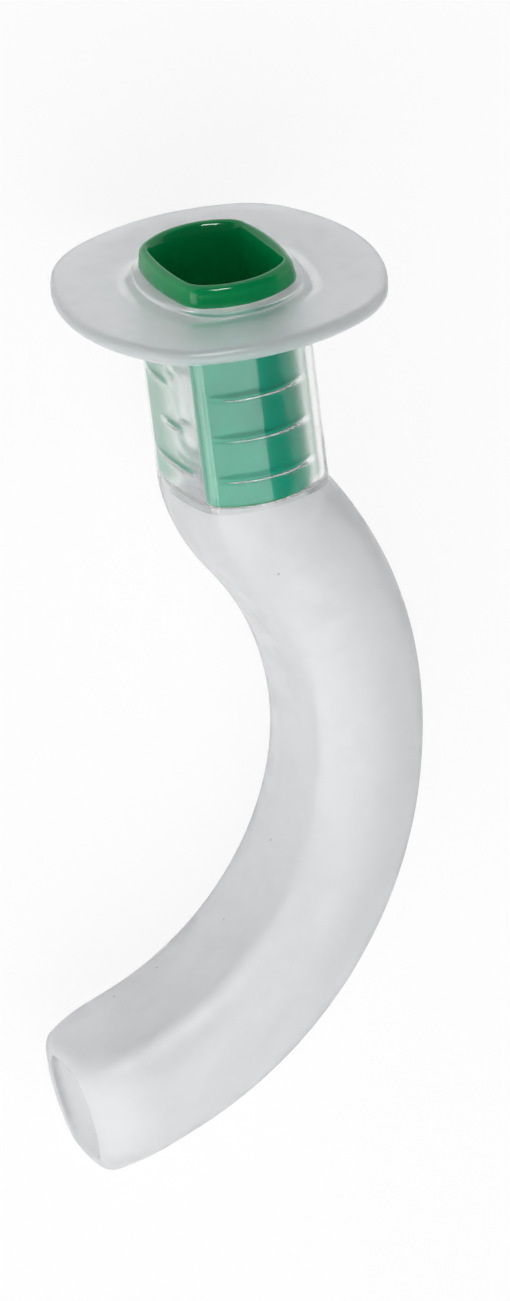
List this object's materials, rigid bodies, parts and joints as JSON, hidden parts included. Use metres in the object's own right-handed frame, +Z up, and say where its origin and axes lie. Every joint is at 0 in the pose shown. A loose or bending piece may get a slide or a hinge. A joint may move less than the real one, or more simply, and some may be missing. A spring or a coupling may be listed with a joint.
{
  "type": "oropharyngeal airway",
  "caption": "Curved hollow airway that holds the tongue off the throat: soft translucent tube with a flange, and a hard green bite block pressed into its neck",
  "frame": {"origin": "Centre of the bounding box's bottom face: the airway lies on its side at rest, as it would on a table", "axes": "+Z up from the surface it lies on, +Y along the neck towards the mouth opening, the curved end towards -X and -Y"},
  "size_m": [0.039, 0.084, 0.0329],
  "materials": {
    "airway_body": "soft translucent, clear and glossy on the neck, frosted on the flange and the curve",
    "bite_block": "hard, glossy, coloured through"
  },
  "bodies": {
    "root": {"airway_body": "airway_body", "bite_block": "bite_block"}
  },
  "joints": []
}
